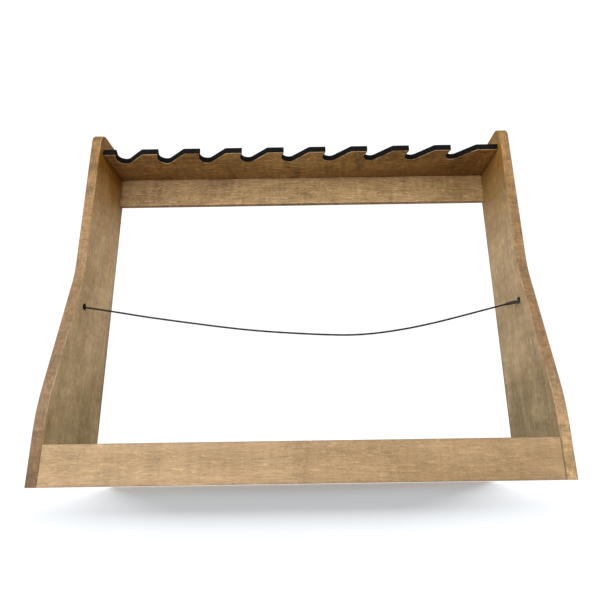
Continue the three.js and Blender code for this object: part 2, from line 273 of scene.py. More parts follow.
def stained_wood(name, grain, thickness, seed, stain, contrast=1.0, joints=()):
    """Fine-grained hardwood under a thin satin stain, with its grain along one axis.

    Broad blotches, a mottle that follows the fibres, a fine grit, short pale flecks, dark pores, faint
    growth rings, a cross ripple and a few dark bands. The sawn edges, which look across the thickness,
    took more stain. Each of joints is (axis, start, end) of a stretch of painted shade."""
    shader = Shader(name, Roughness=0.5, Coat_Weight=0.04, Coat_Roughness=0.4, Specular_IOR_Level=0.3)
    place = shader.node("ShaderNodeTexCoord")
    split = shader.node("ShaderNodeSeparateXYZ", Vector=place.outputs["Object"])
    along, across, through = (split.outputs[axis] for axis in GRAIN_ORDER[grain])
    joined = shader.node("ShaderNodeCombineXYZ", X=along, Y=across, Z=through)
    board = shader.vector("ADD", joined.outputs["Vector"], (seed * 1.37, seed * 0.61, seed * 0.29))

    # The fibres sway gently along the board, and swirl round a few small knots of figure.
    sway = shader.noise(board, (3.0, 9.0, 9.0), 2, color=True)
    wavy = shader.vector("ADD", board, shader.vector("MULTIPLY", sway, (0.0, 0.014, 0.014)))
    figure = shader.between(shader.noise(board, (5.0, 12.0, 12.0), 1), 0.58, 0.70)
    swirl = shader.noise(board, (24.0, 30.0, 30.0), 1, color=True)
    swirl = shader.vector("MULTIPLY", swirl, (0.030, 0.022, 0.022))
    fibre = shader.vector("ADD", wavy, shader.scaled(swirl, figure))

    blotch = shader.noise(wavy, (7.0, 24.0, 24.0), 3, 0.6)
    mottle = shader.noise(fibre, (45.0, 130.0, 130.0), 3, 0.65)
    speckle = shader.noise(fibre, (130.0, 400.0, 400.0), 2, 0.6)
    streaks = shader.noise(fibre, (22.0, 380.0, 380.0), 2, 0.6)
    grit = shader.noise(board, (380.0, 420.0, 420.0), 1)
    ripple = shader.noise(board, (110.0, 18.0, 18.0), 2)
    fine = shader.noise(fibre, (18.0, 900.0, 900.0), 2, 0.6)
    flecks = shader.between(shader.noise(fibre, (60.0, 300.0, 300.0), 1, 0.5, 0.4), 0.60, 0.70)
    pores = shader.between(shader.noise(fibre, (120.0, 1000.0, 1000.0), 1), 0.62, 0.72)
    dark_bands = shader.between(shader.noise(wavy, (24.0, 5.0, 5.0), 1), 0.60, 0.68)
    rings = shader.growth_rings(wavy, along)

    swings = (
        (blotch, 0.05),
        (mottle, 0.11),
        (streaks, 0.13),
        (speckle, 0.14),
        (grit, 0.11),
        (ripple, 0.08),
        (fine, 0.08),
    )
    marks = ((flecks, 0.34), (pores, -0.11), (dark_bands, -0.13), (rings, -0.06))
    tone = shader.total(
        *(shader.spread(texture, -amount, amount) for texture, amount in swings),
        *(shader.times(texture, amount) for texture, amount in marks),
    )
    (last, face, sawn), *further = stain
    color, edge_color = (*face, 1), (*sawn, 1)
    reach = shader.math("ADD", along, shader.spread(blotch, -0.05, 0.05))
    for place_along, face, sawn in further:
        share = shader.between(reach, last, place_along)
        color = shader.mix(share, color, (*face, 1))
        edge_color = shader.mix(share, edge_color, (*sawn, 1))
        last = place_along
    dark = shader.mix(shader.between(blotch, 0.36, 0.62), (*BLOTCHED, 1), (1, 1, 1, 1))
    color = shader.vector("MULTIPLY", color, dark)

    # Painted shade: each stretch darkens the stain where shade falls at a joint's corner or a panel's back
    # edge.
    for axis, start, end in joints:
        offset = split.outputs[axis]
        if axis == "X":
            offset = shader.math("ABSOLUTE", offset)  # both ends alike
        corner = shader.between(offset, start, end)
        corner = shader.times(corner, shader.spread(mottle, 0.6, 1.0))
        color = shader.vector("MULTIPLY", color, shader.mix(corner, (1, 1, 1, 1), (*SHADED, 1)))

    # Sawn edges are deeper in colour, and marked across by the blade.
    normal = place.outputs["Normal"]
    broad = shader.math("ABSOLUTE", shader.vector("DOT_PRODUCT", normal, AXES[thickness]))
    edge = shader.between(broad, 0.85, 0.45)
    chatter = shader.noise(board, (210.0, 60.0, 60.0), 3, 0.6)
    patches = shader.noise(board, (38.0, 16.0, 16.0), 3, 0.6)
    edge_tone = shader.between(shader.total(patches, chatter), 0.75, 1.25, 0.7, 1.3)
    edge_color = shader.scaled(edge_color, edge_tone)
    color = shader.mix(edge, color, edge_color)

    # Where a face cuts across the fibres it drinks more stain, and shows pores in place of fibres.
    end = shader.math("ABSOLUTE", shader.vector("DOT_PRODUCT", normal, AXES[grain]))
    end = shader.math("POWER", end, 0.8)
    end_pores = shader.noise(board, (420.0, 700.0, 700.0), 2)
    end_color = shader.scaled(END_STAIN, shader.spread(end_pores, 0.7, 1.3))
    end = shader.times(end, shader.between(patches, 0.42, 0.56, 0.5, 1.0))
    color = shader.mix(end, color, end_color)
    color = shader.scaled(color, shader.math("ADD", shader.times(tone, contrast), 1.0))

    # Arrises were sanded through the stain, more in some places than in others. Negative wear paints
    # grime at a joint, and painted shade on the panels' outer and back arrises.
    wear = shader.attribute("wear")
    patchy = shader.between(shader.noise(board, (14.0, 60.0, 60.0), 3), 0.42, 0.62)
    sanded = shader.times(patchy, 0.85)
    sanded = shader.times(shader.math("MAXIMUM", wear, 0.0), sanded)
    color = shader.mix(sanded, color, shader.scaled(SANDED, shader.spread(speckle, 0.85, 1.15)))
    grime_and_shade_mask = shader.times(shader.math("MINIMUM", wear, 0.0), -0.8)
    color = shader.mix(grime_and_shade_mask, color, (*GRIME_AND_SHADE, 1))
    # Painted shade: the walls inside the bores are painted near black.
    bored = shader.attribute("bored")
    color = shader.mix(bored, color, (*BORE_SHADE, 1))

    height = shader.math("SUBTRACT", shader.times(fine, 0.5), pores)
    relief = shader.bump(height, 0.00008)
    relief = shader.bump(shader.times(edge, chatter), 0.0004, 0.6, relief)
    relief = shader.bump(mottle, 0.0003, 0.5, relief)
    roughness = shader.total(shader.spread(speckle, 0.44, 0.62), shader.times(bored, 0.35))
    return shader.finish(Base_Color=color, Roughness=roughness, Normal=relief)


def black_felt(name, tint):
    """Pressed wool felt: matted fibres, a soft nap and a little lint."""
    shader = Shader(name, Roughness=0.95, Sheen_Weight=0.015, Sheen_Roughness=0.5, Specular_IOR_Level=0.03)
    place = shader.node("ShaderNodeTexCoord").outputs["Object"]
    matting = shader.noise(place, (900.0, 900.0, 900.0), 4, 0.7, 0.6)
    patches = shader.noise(place, (40.0, 40.0, 60.0), 3)
    lint = shader.between(shader.noise(place, (500.0, 2600.0, 2600.0), 1), 0.68, 0.74)
    tone = shader.times(shader.spread(matting, 0.6, 1.4), shader.spread(patches, 0.85, 1.15))
    color = shader.scaled(tint, tone)
    color = shader.mix(shader.times(lint, 0.05), color, (0.20, 0.19, 0.17, 1))
    relief = shader.bump(matting, 0.0004)
    roughness = shader.spread(patches, 0.88, 1.0)
    return shader.finish(Base_Color=color, Roughness=roughness, Normal=relief)


def cable_coat():
    """Black vinyl drawn over a wire rope, scuffed in places."""
    shader = Shader("cable_coat", Roughness=0.5, Specular_IOR_Level=0.3)
    place = shader.node("ShaderNodeTexCoord").outputs["Object"]
    scuffs = shader.between(shader.noise(place, (300.0, 700.0, 700.0), 3), 0.52, 0.72)
    dust = shader.noise(place, (25.0, 90.0, 90.0), 3)
    scuffed = shader.times(scuffs, 0.25)
    color = shader.mix(scuffed, (0.009, 0.008, 0.007, 1), (0.050, 0.046, 0.040, 1))
    color = shader.scaled(color, shader.spread(dust, 0.8, 1.25))
    relief = shader.bump(scuffs, 0.00004)
    roughness = shader.between(scuffs, 0, 1, 0.46, 0.66)
    return shader.finish(Base_Color=color, Roughness=roughness, Normal=relief)


def black_crimp():
    """Black-finished metal, rubbed lighter on its high spots. On the crimp sleeve the wear attribute
    also paints highlights on the strands' bulges, the upper one lighter.
    """
    shader = Shader("black_crimp", Metallic=0.3, Roughness=0.45, Specular_IOR_Level=0.2)
    place = shader.node("ShaderNodeTexCoord").outputs["Object"]
    rubbed = shader.between(shader.noise(place, (180.0, 420.0, 420.0), 4, 0.6), 0.50, 0.70)
    wear = shader.attribute("wear")
    rubbed = shader.between(rubbed, 0, 1, 0.45, 1.0)
    # painted highlight on the sleeve's bulges, and rubbed wear on the stop's rims
    rubbed_and_highlight = shader.times(rubbed, shader.math("ADD", shader.times(wear, 0.8), 0.03))
    color = shader.mix(rubbed_and_highlight, (0.012, 0.011, 0.010, 1), (0.30, 0.28, 0.25, 1))
    relief = shader.bump(shader.noise(place, (1400.0, 1400.0, 1400.0), 2), 0.00003)
    roughness = shader.between(rubbed, 0, 1, 0.34, 0.5)
    return shader.finish(Base_Color=color, Roughness=roughness, Normal=relief)


def zinc_plate():
    """Bright zinc with a faint crystal bloom and turning marks."""
    shader = Shader("zinc_plate", Metallic=1.0, Roughness=0.35)
    place = shader.node("ShaderNodeTexCoord").outputs["Object"]
    bloom = shader.noise(place, (260.0, 260.0, 260.0), 3, 0.6)
    marks = shader.noise(place, (2600.0, 300.0, 300.0), 2)
    color = shader.scaled((0.56, 0.57, 0.59), shader.spread(bloom, 0.82, 1.12))
    relief = shader.bump(marks, 0.00003)
    roughness = shader.spread(bloom, 0.28, 0.45)
    return shader.finish(Base_Color=color, Roughness=roughness, Normal=relief)


# ---- outlines ----

LEAST_RADIUS = 0.15 * MM  # a rounded corner stays an arc, so that every ring has the same count of points


def rounded(corners, closed=True, step=math.radians(6)):
    """One list of points for each corner (x, y, radius): an arc, or the corner alone if it is sharp."""
    groups = []
    for index, (x, y, radius) in enumerate(corners):
        corner = Vector((x, y))
        is_end = not closed and index in (0, len(corners) - 1)
        if radius <= 0 or is_end:
            groups.append([corner])
            continue
        last = Vector(corners[index - 1][:2])
        following = Vector(corners[(index + 1) % len(corners)][:2])
        back = (last - corner).normalized()
        ahead = (following - corner).normalized()
        half = back.angle(ahead) / 2
        centre = corner + (back + ahead).normalized() * (radius / math.sin(half))
        start = corner + back * (radius / math.tan(half)) - centre
        turn = math.copysign(math.pi - 2 * half, -back.x * ahead.y + back.y * ahead.x)
        steps = max(2, math.ceil(abs(turn) / step - 0.01))
        groups.append([centre + Matrix.Rotation(turn * k / steps, 2) @ start for k in range(steps + 1)])
    return groups


def shifted(corners, distances, closed=True):
    """The same line with each side moved to its own left. Arcs stay concentric."""
    count = len(corners)
    sides = []
    for index in range(count if closed else count - 1):
        start = Vector(corners[index][:2])
        along = (Vector(corners[(index + 1) % count][:2]) - start).normalized()
        left = Vector((-along.y, along.x))
        sides.append((start + left * distances[index], along))
    moved = []
    for index, (x, y, radius) in enumerate(corners):
        if not closed and index == 0:
            moved.append((*sides[0][0], 0))
            continue
        before, before_along = sides[index - 1]
        if not closed and index == count - 1:
            reach = (Vector((x, y)) - before).dot(before_along)
            moved.append((*(before + before_along * reach), 0))
            continue
        after, after_along = sides[index]
        turn = before_along.x * after_along.y - before_along.y * after_along.x
        gap = after - before
        reach = (gap.x * after_along.y - gap.y * after_along.x) / turn
        shrink = math.copysign((distances[index - 1] + distances[index]) / 2, turn)
        kept = max(LEAST_RADIUS, radius - shrink) if radius > 0 else 0
        moved.append((*(before + before_along * reach), kept))
    return moved


# ---- meshes ----

SHARP_ANGLE = math.radians(35)  # steeper edges are drawn sharp


def skin(mesh, loops):
    """Faces from each ring to the next, and one across each end. Returns those two."""
    for lower, upper in zip(loops, loops[1:]):
        for index in range(len(lower)):
            after = (index + 1) % len(lower)
            mesh.faces.new((lower[index], lower[after], upper[after], upper[index]))
    return mesh.faces.new(tuple(reversed(loops[0]))), mesh.faces.new(tuple(loops[-1]))


def in_scene(mesh, name):
    data = bpy.data.meshes.new(name)
    mesh.to_mesh(data)
    mesh.free()
    return linked(name, data)


def shown(mesh, name, material, slot, *nodes):
    """Turns the mesh into a piece that rides on the rack in place of its CAD nodes."""
    bmesh.ops.recalc_face_normals(mesh, faces=mesh.faces)
    piece = in_scene(mesh, name)
    piece.data.materials.append(material)
    piece.data.shade_smooth()
    piece.data.set_sharp_from_angle(angle=SHARP_ANGLE)
    even = piece.modifiers.new("even_normals", "WEIGHTED_NORMAL")
    even.keep_sharp = True
    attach(piece, "root")
    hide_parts(*nodes)
    return piece


# ---- boards ----

CRISP = 0.12  # how much of its arris a butted end gets
LONGEST_STEP = 0.03  # along a straight side


def arris(ease, band):
    """(inset, depth, wear) of the rings round one face's arris. A band beside it fades the wear."""
    faint = 0.35 if band else 0.0
    steps = 5
    rings = []
    for k in range(steps + 1):
        turn = math.pi / 2 * k / steps
        wear = faint + (1 - faint) * math.sin(2 * turn)
        rings.append((ease * (1 - math.sin(turn)), ease * (1 - math.cos(turn)), wear))
    if band:
        rings = [(ease + band, 0.0, 0.0), *rings, (0.0, ease + band, 0.0)]
    return rings


def arris_rings(thickness, ease, bands):
    """The rings of a board from its near face, over both arrises, to its far face."""
    far = [(inset, thickness - depth, wear) for inset, depth, wear in reversed(arris(ease, bands[1]))]
    return arris(ease, bands[0]) + far


def stretch(groups, counts):
    """The outline's points in order, with each straight side cut into its count of equal steps."""
    points = []
    owners = []
    for index, group in enumerate(groups):
        points += group
        owners += [index] * len(group)
        start = group[-1]
        end = groups[(index + 1) % len(groups)][0]
        for k in range(1, counts[index]):
            points.append(start.lerp(end, k / counts[index]))
            owners.append(index + 0.5)
    return points, owners


def plate(corners, thickness, place, ease, bands=(0, 0), sides=None, tones=(1, 1), step=math.radians(6)):
    """A closed board with rounded arrises. Each side of its outline takes its own share of the arris.

    tones says what the arrises of the near and the far face show: 1 for bare wood, -1 for grime,
    which on some panel arrises is painted shade."""
    sides = sides or [1.0] * len(corners)
    mesh = bmesh.new()
    wear_of = mesh.verts.layers.float.new("wear")
    mesh.verts.layers.float.new("bored")
    base = rounded(corners, step=step)
    counts = []
    for index, group in enumerate(base):
        length = (base[(index + 1) % len(base)][0] - group[-1]).length
        counts.append(max(1, math.ceil(length / LONGEST_STEP)))
    loops = []
    for inset, depth, wear in arris_rings(thickness, ease, bands):
        wear *= tones[0] if depth < thickness / 2 else tones[1]
        groups = rounded(shifted(corners, [inset * share for share in sides]), step=step)
        points, owners = stretch(groups, counts)
        loop = []
        for point, owner in zip(points, owners):
            vert = mesh.verts.new(place @ Vector((point.x, point.y, depth)))
            side = int(owner)
            share = sides[side] if owner > side else min(sides[side - 1], sides[side])
            vert[wear_of] = wear if share > CRISP else 0.0
            loop.append(vert)
        loops.append(loop)
    near, far = skin(mesh, loops)
    return mesh, near, far


def drill(mesh, place, near, far, bores, segments=32):
    """Opens round bores in a plate: (x, y, [(depth, radius, bored), ...]), each from face to face."""
    bored_of = mesh.verts.layers.float["bored"]
    rims = {near: [], far: []}
    for x, y, stations in bores:
        loops = []
        for depth, radius, bored in stations:
            loop = []
            for k in range(segments):
                angle = 2 * math.pi * k / segments
                point = Vector((x + radius * math.cos(angle), y + radius * math.sin(angle), depth))
                vert = mesh.verts.new(place @ point)
                vert[bored_of] = bored
                loop.append(vert)
            loops.append(loop)
        for lower, upper in zip(loops, loops[1:]):
            for k in range(segments):
                after = (k + 1) % segments
                mesh.faces.new((lower[after], lower[k], upper[k], upper[after]))
        rims[near].append(loops[0])
        rims[far].append(loops[-1])
    for face, holes in rims.items():
        edges = list(face.edges)
        normal = face.normal.copy()
        bmesh.ops.delete(mesh, geom=[face], context="FACES_ONLY")
        for loop in holes:
            edges += [mesh.edges.get((a, b)) for a, b in zip(loop, loop[1:] + loop[:1])]
        bmesh.ops.triangle_fill(mesh, use_beauty=True, use_dissolve=False, edges=edges, normal=normal)


# ---- cable ----

CABLE_Y = BACK_Y - 0.121
CABLE_RADIUS = 1.75 * MM
HOLE_HEIGHT = 0.3186
HOLE_RADIUS = 6.35 * MM
FERRULE_TILT = math.radians(8.7)
FERRULE_HALF = 16 * MM
STRAND_OFFSET = 1.8 * MM  # of each strand from the ferrule's axis

# X and Z of the hanging strand, from the left stop to the ferrule.
STRAND_ROUTE = [
    (-0.43965, 0.3186), (-0.430, 0.3182), (-0.419, 0.3170), (-0.404, 0.3148), (-0.380, 0.3109),
    (-0.345, 0.3048), (-0.300, 0.2968), (-0.250, 0.2889), (-0.200, 0.2814), (-0.150, 0.2742),
    (-0.100, 0.2679), (-0.050, 0.2631), (0.000, 0.2594), (0.050, 0.2565), (0.090, 0.2554),
    (0.130, 0.2571), (0.170, 0.2616), (0.210, 0.2679), (0.250, 0.2759), (0.290, 0.2852),
    (0.330, 0.2951), (0.360, 0.3026), (0.376, 0.3066),
]

# The eye runs out through the right-hand hole, opens behind it and comes back.
EYE_ROUTE = [
    (0.4280, 0.3148), (0.4385, 0.3145), (0.4450, 0.3139), (0.4502, 0.3152), (0.4523, 0.3193),
    (0.4502, 0.3236), (0.4450, 0.3253), (0.4385, 0.3229), (0.4280, 0.3200),
]


def ferrule_place():
    """Turns the ferrule's own along, depth and height into the rack's frame."""
    middle = (FERRULE_LOW + FERRULE_HIGH) / 2
    return Matrix.Translation(middle) @ Matrix.Rotation(-FERRULE_TILT, 4, "Y")


def on_ferrule(along, height):
    point = ferrule_place() @ Vector((along, 0, height))
    return (point.x, point.z)


def smooth_line(route, spacing):
    """Points along the smooth curve (a centripetal Catmull-Rom spline) through the route."""
    points = [Vector((x, CABLE_Y, z)) for x, z in route]
    points = [2 * points[0] - points[1], *points, 2 * points[-1] - points[-2]]
    line = []
    for before, start, end, after in zip(points, points[1:], points[2:], points[3:]):
        gaps = [math.sqrt((b - a).length) for a, b in ((before, start), (start, end), (end, after))]
        leave = (start - before) / gaps[0] - (end - before) / (gaps[0] + gaps[1]) + (end - start) / gaps[1]
        arrive = (end - start) / gaps[1] - (after - start) / (gaps[1] + gaps[2]) + (after - end) / gaps[2]
        leave *= gaps[1]
        arrive *= gaps[1]
        steps = max(1, round((end - start).length / spacing))
        for k in range(steps):
            t = k / steps
            square, cube = t * t, t * t * t
            line.append(
                start * (2 * cube - 3 * square + 1) + leave * (cube - 2 * square + t)
                + end * (3 * square - 2 * cube) + arrive * (cube - square)
            )
    line.append(points[-2])
    return line


def coated_rope(line, segments=24, lobes=6, twist=0.022, lobe_depth=0.025):
    """A tube whose skin shows the lay of the rope inside: shallow lobes that turn along it."""
    mesh = bmesh.new()
    loops = []
    travelled = 0.0
    for index, centre in enumerate(line):
        ahead = line[min(index + 1, len(line) - 1)] - line[max(index - 1, 0)]
        ahead.normalize()
        side = Vector((0, 1, 0))
        up = ahead.cross(side)
        if index:
            travelled += (centre - line[index - 1]).length
        loop = []
        for k in range(segments):
            angle = 2 * math.pi * k / segments
            lobe = math.cos(lobes * (angle + 2 * math.pi * travelled / twist / lobes))
            radius = CABLE_RADIUS * (1 + lobe_depth * (lobe - 1))
            loop.append(mesh.verts.new(centre + (side * math.cos(angle) + up * math.sin(angle)) * radius))
        loops.append(loop)
    skin(mesh, loops)
    return mesh


def make_cable():
    coat = cable_coat()
    reach = FERRULE_HALF + GAP
    strand_line = smooth_line([*STRAND_ROUTE, on_ferrule(-reach, -STRAND_OFFSET)], 1.2 * MM)
    strand = shown(coated_rope(strand_line), "hanging_cable", coat, "cable_coat", "cable_strand")
    eye_route = [on_ferrule(reach, -STRAND_OFFSET), *EYE_ROUTE, on_ferrule(reach, STRAND_OFFSET)]
    eye_line = smooth_line(eye_route, 0.8 * MM)
    eye = shown(coated_rope(eye_line), "cable_loop", coat, "cable_coat", "cable_eye")
    crimp = black_crimp()
    sleeve = shown(crimp_sleeve(), "crimp_sleeve", crimp, "crimp_steel", "cable_ferrule")
    stop = shown(crimp_stop(), "crimp_stop", crimp, "crimp_steel", "cable_stop")
    washer = shown(round_washer(), "flat_washer", zinc_plate(), "zinc_steel", "stop_washer")


def spun(profile, place, segments=40):
    """A turned piece about its own Z axis: the profile is (radius, height, wear) from axis to axis."""
    mesh = bmesh.new()
    wear_of = mesh.verts.layers.float.new("wear")
    loops = []
    for radius, height, wear in profile:
        count = segments if radius > 0 else 1
        loop = []
        for k in range(count):
            angle = 2 * math.pi * k / segments
            point = Vector((radius * math.cos(angle), radius * math.sin(angle), height))
            vert = mesh.verts.new(place @ point)
            vert[wear_of] = wear
            loop.append(vert)
        loops.append(loop)
    closed = profile[0][0] > 0
    pairs = zip(loops, loops[1:] + loops[:1]) if closed else zip(loops, loops[1:])
    for lower, upper in pairs:
        for k in range(segments):
            after = (k + 1) % segments
            around = ((lower, k), (lower, after), (upper, after), (upper, k))
            corners = [loop[step % len(loop)] for loop, step in around]
            mesh.faces.new(list(dict.fromkeys(corners)))
    return mesh


def arc(centre_radius, centre_height, size, start, end, steps=4, wear=0.0):
    """Profile points round an arc, from one angle to another in degrees."""
    points = []
    for k in range(steps + 1):
        angle = math.radians(start + (end - start) * k / steps)
        radius = centre_radius + size * math.cos(angle)
        points.append((radius, centre_height + size * math.sin(angle), wear))
    return points


def outward(side, x, y, z):
    """A frame at a point of a panel's outer face, with its Z axis pointing out of the rack."""
    turn = Matrix.Rotation(math.pi / 2 * side, 4, "Y")
    return Matrix.Translation((x, y, z)) @ turn


def crimp_stop():
    """A short sleeve pressed round the end of the cable, with the cut cable just showing."""
    radius, length, bead = 3.5 * MM, 10 * MM, 0.6 * MM
    waist, waist_steps = 0.35 * MM, 12
    bore = CABLE_RADIUS + 0.3 * MM
    cut_end = length + 0.3 * MM
    profile = [(0, 0, 0), *arc(radius - bead, bead, bead, -90, 0, wear=1)]
    for k in range(1, waist_steps):
        share = k / waist_steps
        pressed = waist * math.sin(math.pi * share) ** 2
        profile.append((radius - pressed, bead + (length - 2 * bead) * share, 0.2))
    profile += arc(radius - bead, length - bead, bead, 0, 90, wear=1)
    profile += [
        (bore, length - 0.1 * MM, 0),
        (CABLE_RADIUS, length - 0.6 * MM, 0),
        (CABLE_RADIUS, length + 0.1 * MM, 0),
        (CABLE_RADIUS - 0.2 * MM, cut_end, 0),
        (0, cut_end, 0),
    ]
    washer_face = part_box("stop_washer")[0].x - GAP
    return spun(profile, outward(-1, washer_face, CABLE_Y, HOLE_HEIGHT))


def round_washer():
    outer, inner, thickness, bead = 12.5 * MM, 2.2 * MM, 1.2 * MM, 0.3 * MM
    profile = arc(outer - bead, bead, bead, -90, 0, wear=1)
    profile += arc(outer - bead, thickness - bead, bead, 0, 90, wear=1)
    profile += arc(inner + bead, thickness - bead, bead, 90, 180, wear=1)
    profile += arc(inner + bead, bead, bead, 180, 270, wear=1)
    return spun(profile, outward(-1, LEFT_LOW.x - GAP, CABLE_Y, HOLE_HEIGHT), 64)


SLEEVE_WALL = 0.2 * MM
SLEEVE_SWELL = 0.55  # share of its length in which the sleeve reaches its full height
SLEEVE_PRESSES = 3  # marks of the crimping tool along it
SLEEVE_PRESS_DEPTH = 0.16
SLEEVE_LIP = 0.06  # share of its half length that each rounded end takes
SLEEVE_LIP_DEPTH = 0.22  # share of its size that it loses there
SLEEVE_WAIST = 0.42  # depth of the groove between the two strands
SLEEVE_SQUARENESS = 0.8  # 1 for a round section


def squarish(value):
    return math.copysign(abs(value) ** SLEEVE_SQUARENESS, value)


def crimp_sleeve():
    """A sleeve that swells from the single strand to the doubled cable, waisted between the two."""
    mesh = bmesh.new()
    wear_of = mesh.verts.layers.float.new("wear")
    place = ferrule_place()
    around_one = CABLE_RADIUS + SLEEVE_WALL
    stations, segments = 56, 40
    loops = []
    for s in range(stations + 1):
        share = s / stations
        along = -FERRULE_HALF + 2 * FERRULE_HALF * share
        swell = math.sin(math.pi / 2 * min(1.0, share / SLEEVE_SWELL)) ** 2
        press = SLEEVE_PRESS_DEPTH * swell * math.sin(math.pi * SLEEVE_PRESSES * share) ** 2
        into_lip = max(0.0, abs(2 * share - 1) - (1 - SLEEVE_LIP)) / SLEEVE_LIP
        lip = 1.0 - SLEEVE_LIP_DEPTH * into_lip**2
        half_height = (around_one + swell * STRAND_OFFSET) * lip
        half_depth = (around_one + swell * 0.5 * MM) * (1 - press) * lip
        middle = -STRAND_OFFSET * (1 - swell)
        loop = []
        for k in range(segments):
            angle = 2 * math.pi * k / segments
            waist = 1 - SLEEVE_WAIST * swell * math.cos(angle) ** 12
            y = squarish(math.cos(angle)) * half_depth * waist
            z = middle + squarish(math.sin(angle)) * half_height
            vert = mesh.verts.new(place @ Vector((along, y, z)))
            # Painted highlight: each strand's bulge is painted lighter through the wear attribute, the
            # upper one more, as if lit from above.
            vert[wear_of] = (0.90 + 0.60 * math.sin(angle)) * abs(math.sin(2 * angle)) * swell
            loop.append(vert)
        loops.append(loop)
    skin(mesh, loops)
    return mesh


# ---- the wooden pieces ----

PANEL_EASE = 1.2 * MM
PANEL_WEAR_BAND = 2.0 * MM
BOARD_EASE = 1.2 * MM
BOARD_WEAR_BANDS = (3.0 * MM, 3.0 * MM)
HEAD_DEPTH = 0.137
HEAD_CORNER_RADIUS = 0.024
BACK_CORNER_RADIUS = 3 * MM
FOOT_CORNER_RADIUS = 0.4 * MM
FLARE_TOP, FLARE_TOP_RADIUS = 0.381, 0.190
FLARE_BOTTOM, FLARE_BOTTOM_RADIUS = 0.121, 0.300

PLUG_RADIUS = 4.75 * MM
PLUG_LENGTH = 6 * MM
COUNTERBORE_DEPTH = 9.2 * MM
PILOT_RADIUS = 2.4 * MM
OUTER_FACE = {"left": LEFT_LOW.x, "right": RIGHT_HIGH.x}

# What a panel's arrises show: 1 for bare wood, 0 for plain stain, -1 for grime. The outer and
# back arrises use it as painted shade.
OUTER_ARRIS = -0.7
BACK_ARRIS = -1.25  # painted shade along the back edge
BACK_ARRIS_REACH = 8 * MM
INNER_ARRIS = {"left": (0.0, 0.7), "right": (-0.7, 0.4)}  # beside the front rail, and clear of it


def centre_of(node):
    low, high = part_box(node)
    return (low + high) / 2


def plug_names(side):
    return sorted(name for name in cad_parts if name.startswith(f"{side}_plug_"))


def panel_bores(side):
    """Plugged counterbores from the outer face, each with its pilot hole, and the cable hole."""
    bores = []
    for name in plug_names(side):
        centre = centre_of(name)
        stations = [
            (0.0, PLUG_RADIUS + GAP, 0.0),
            (0.4 * MM, PLUG_RADIUS + 0.4 * GAP, 0.8),
            (COUNTERBORE_DEPTH, PLUG_RADIUS + 0.4 * GAP, 1.0),
            (COUNTERBORE_DEPTH, PILOT_RADIUS, 1.0),
            (PANEL_THICKNESS - GAP, PILOT_RADIUS, 1.0),
            (PANEL_THICKNESS, PILOT_RADIUS + GAP, 0.0),
        ]
        bores.append((centre.y, centre.z, stations))
    bead = 0.6 * MM
    rim = [(0.0, bead, 0.0), (0.25 * bead, 0.35 * bead, 0.7), (bead, 0.0, 1.0)]
    cable_hole = [(depth, HOLE_RADIUS + flare, bored) for depth, flare, bored in rim]
    for depth, flare, bored in reversed(rim):
        cable_hole.append((PANEL_THICKNESS - depth, HOLE_RADIUS + flare, bored))
    bores.append((CABLE_Y, HOLE_HEIGHT, cable_hole))
    return bores


def make_panel(side, material):
    head = BACK_Y - HEAD_DEPTH
    corners = [
        (BACK_Y, 0.0, FOOT_CORNER_RADIUS),
        (BACK_Y, RACK_HEIGHT, BACK_CORNER_RADIUS),
        (head, RACK_HEIGHT, HEAD_CORNER_RADIUS),
        (head, FLARE_TOP, FLARE_TOP_RADIUS),
        (FRONT_Y, FLARE_BOTTOM, FLARE_BOTTOM_RADIUS),
        (FRONT_Y, 0.0, FOOT_CORNER_RADIUS),
    ]
    inward = 1 if side == "left" else -1
    place = Matrix(((0, 0, inward, OUTER_FACE[side]), (1, 0, 0, 0), (0, 1, 0, 0), (0, 0, 0, 1)))
    bands = (0, PANEL_WEAR_BAND)
    sides = [1, 1, 1, 1, 1, 0.5]  # the foot is eased less, clear of the plugs beside it
    # the outer face's arrises take painted shade
    tones = (OUTER_ARRIS, 1)
    step = math.radians(3)
    mesh, near, far = plate(corners, PANEL_THICKNESS, place, PANEL_EASE, bands, sides, tones, step)
    beside_rail, clear_of_rail = INNER_ARRIS[side]
    rail_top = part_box("front_rail")[1].z
    wear_of = mesh.verts.layers.float["wear"]
    for vert in mesh.verts:
        if vert[wear_of] <= 0:
            continue
        if vert.co.z < rail_top:
            vert[wear_of] = beside_rail
        # painted shade on the arrises near the back edge
        elif vert.co.y > BACK_Y - BACK_ARRIS_REACH:
            vert[wear_of] *= BACK_ARRIS
        else:
            vert[wear_of] *= clear_of_rail
    mesh.normal_update()
    drill(mesh, place, near, far, panel_bores(side))
    return shown(mesh, f"{side}_side_board", material, "side_panels", f"{side}_side_panel")


NOTCH_COUNT = 9
NOTCH_PITCH = 0.0889
FIRST_TOOTH_WIDTH = 0.0285
NOTCH_MOUTH = 0.0534
NOTCH_UNDERCUT = math.radians(14)
NOTCH_RAMP = math.radians(41)
NOTCH_POCKET_RADIUS = 0.0135
TOOTH_TIP_RADIUS = 0.0018
RAMP_END_RADIUS = 0.008
LINER_THICKNESS = 0.0015
LINER_EASE = 0.4 * MM
SHELF_EASE = 0.8 * MM
SHELF_WEAR_BANDS = (1.5 * MM, 1.5 * MM)
SHELF_LEAST_RADIUS = 0.4 * MM  # of a rounded corner of the wood behind the liner


